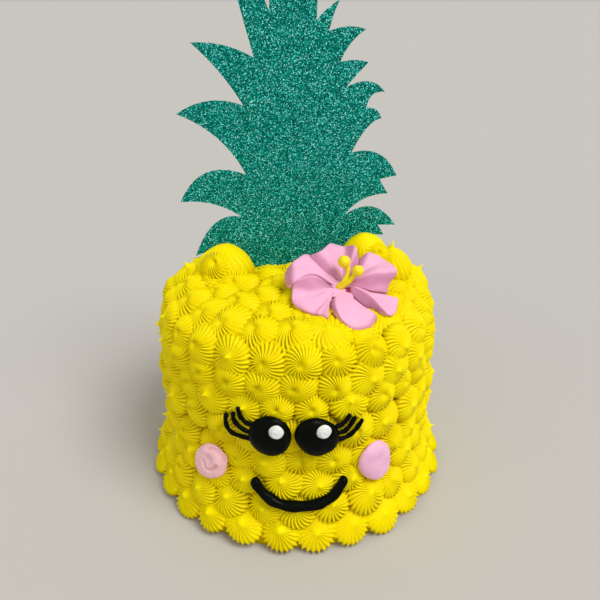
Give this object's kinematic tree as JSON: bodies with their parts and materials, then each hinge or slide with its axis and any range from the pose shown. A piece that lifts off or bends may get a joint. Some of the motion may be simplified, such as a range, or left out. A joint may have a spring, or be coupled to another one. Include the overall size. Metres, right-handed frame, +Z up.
{
  "type": "pineapple layer cake",
  "caption": "Round layer cake iced with piped yellow stars as a pineapple: a smiling face, a pink icing flower on the shoulder and a tall green glitter card crown of leaves.",
  "frame": {"origin": "middle of the flat base, on the axis of the round cake", "axes": "+Z up, -Y out of the face towards the viewer, +X to the viewer's right"},
  "size_m": [0.1746, 0.1752, 0.297],
  "materials": {
    "yellow_icing": "satin buttercream",
    "stamen_icing": "satin icing",
    "black_icing": "half-gloss icing",
    "white_icing": "satin icing",
    "cheek_icing": "satin icing",
    "petal_icing": "satin icing",
    "green_card": "fine glitter"
  },
  "bodies": {
    "root": {"cake": "yellow_icing", "cheek_left": "cheek_icing", "cheek_right": "cheek_icing", "eye_dot_left": "white_icing", "eye_dot_right": "white_icing", "eye_left": "black_icing", "eye_right": "black_icing", "lash_left_1": "black_icing", "lash_left_2": "black_icing", "lash_left_3": "black_icing", "lash_right_1": "black_icing", "lash_right_2": "black_icing", "lash_right_3": "black_icing", "leaf_crown": "green_card", "mouth": "black_icing", "petal_1": "petal_icing", "petal_2": "petal_icing", "petal_3": "petal_icing", "petal_4": "petal_icing", "petal_5": "petal_icing", "petal_6": "petal_icing", "stamen_left": "stamen_icing", "stamen_right": "stamen_icing"}
  },
  "joints": []
}
